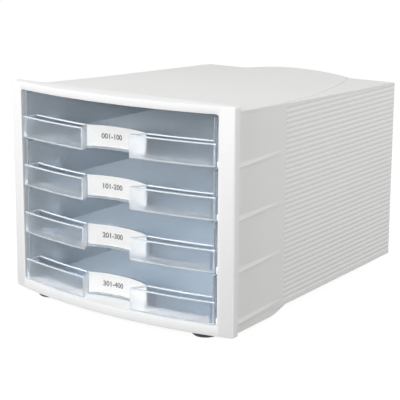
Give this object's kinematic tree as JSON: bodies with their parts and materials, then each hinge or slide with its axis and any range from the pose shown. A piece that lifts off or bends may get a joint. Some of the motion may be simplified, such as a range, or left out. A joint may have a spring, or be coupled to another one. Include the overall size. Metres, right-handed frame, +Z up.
{
  "type": "desktop drawer unit",
  "caption": "Desktop drawer unit with a bowed front frame, ribbed tapering sides and shallow clear sliding drawers with frosted grips and label holders.",
  "frame": {"origin": "centre of the unit's footprint, on the surface it stands on", "axes": "+X to the right as seen from the front, -Y out of the drawer fronts, +Z up"},
  "size_m": [0.294, 0.368, 0.2375],
  "materials": {
    "frame": "smooth satin light grey moulding",
    "housing": "fine textured light grey moulding",
    "tray": "clear, faintly blue",
    "grip": "frosted clear",
    "card": "white paper card",
    "window": "clear",
    "foot": "matt black"
  },
  "bodies": {
    "housing": {"front_frame": "frame", "side_panel_left": "housing", "side_panel_right": "housing", "top_cover": "housing", "back_panel": "housing", "base_plinth": "housing", "foot_front_left": "foot", "foot_front_right": "foot", "foot_rear_left": "foot", "foot_rear_right": "foot"},
    "drawer_1": {"drawer_1_tray": "tray", "drawer_1_front": "grip", "drawer_1_card": "card", "drawer_1_window": "window"},
    "drawer_2": {"drawer_2_tray": "tray", "drawer_2_front": "grip", "drawer_2_card": "card", "drawer_2_window": "window"},
    "drawer_3": {"drawer_3_tray": "tray", "drawer_3_front": "grip", "drawer_3_card": "card", "drawer_3_window": "window"},
    "drawer_4": {"drawer_4_tray": "tray", "drawer_4_front": "grip", "drawer_4_card": "card", "drawer_4_window": "window"}
  },
  "joints": [
    {"name": "drawer_1_slide", "type": "slide", "parent": "housing", "child": "drawer_1", "axis": [0, -1, 0], "range_m": [0, 0.2725]},
    {"name": "drawer_2_slide", "type": "slide", "parent": "housing", "child": "drawer_2", "axis": [0, -1, 0], "range_m": [0, 0.2725]},
    {"name": "drawer_3_slide", "type": "slide", "parent": "housing", "child": "drawer_3", "axis": [0, -1, 0], "range_m": [0, 0.2725]},
    {"name": "drawer_4_slide", "type": "slide", "parent": "housing", "child": "drawer_4", "axis": [0, -1, 0], "range_m": [0, 0.2725]}
  ]
}
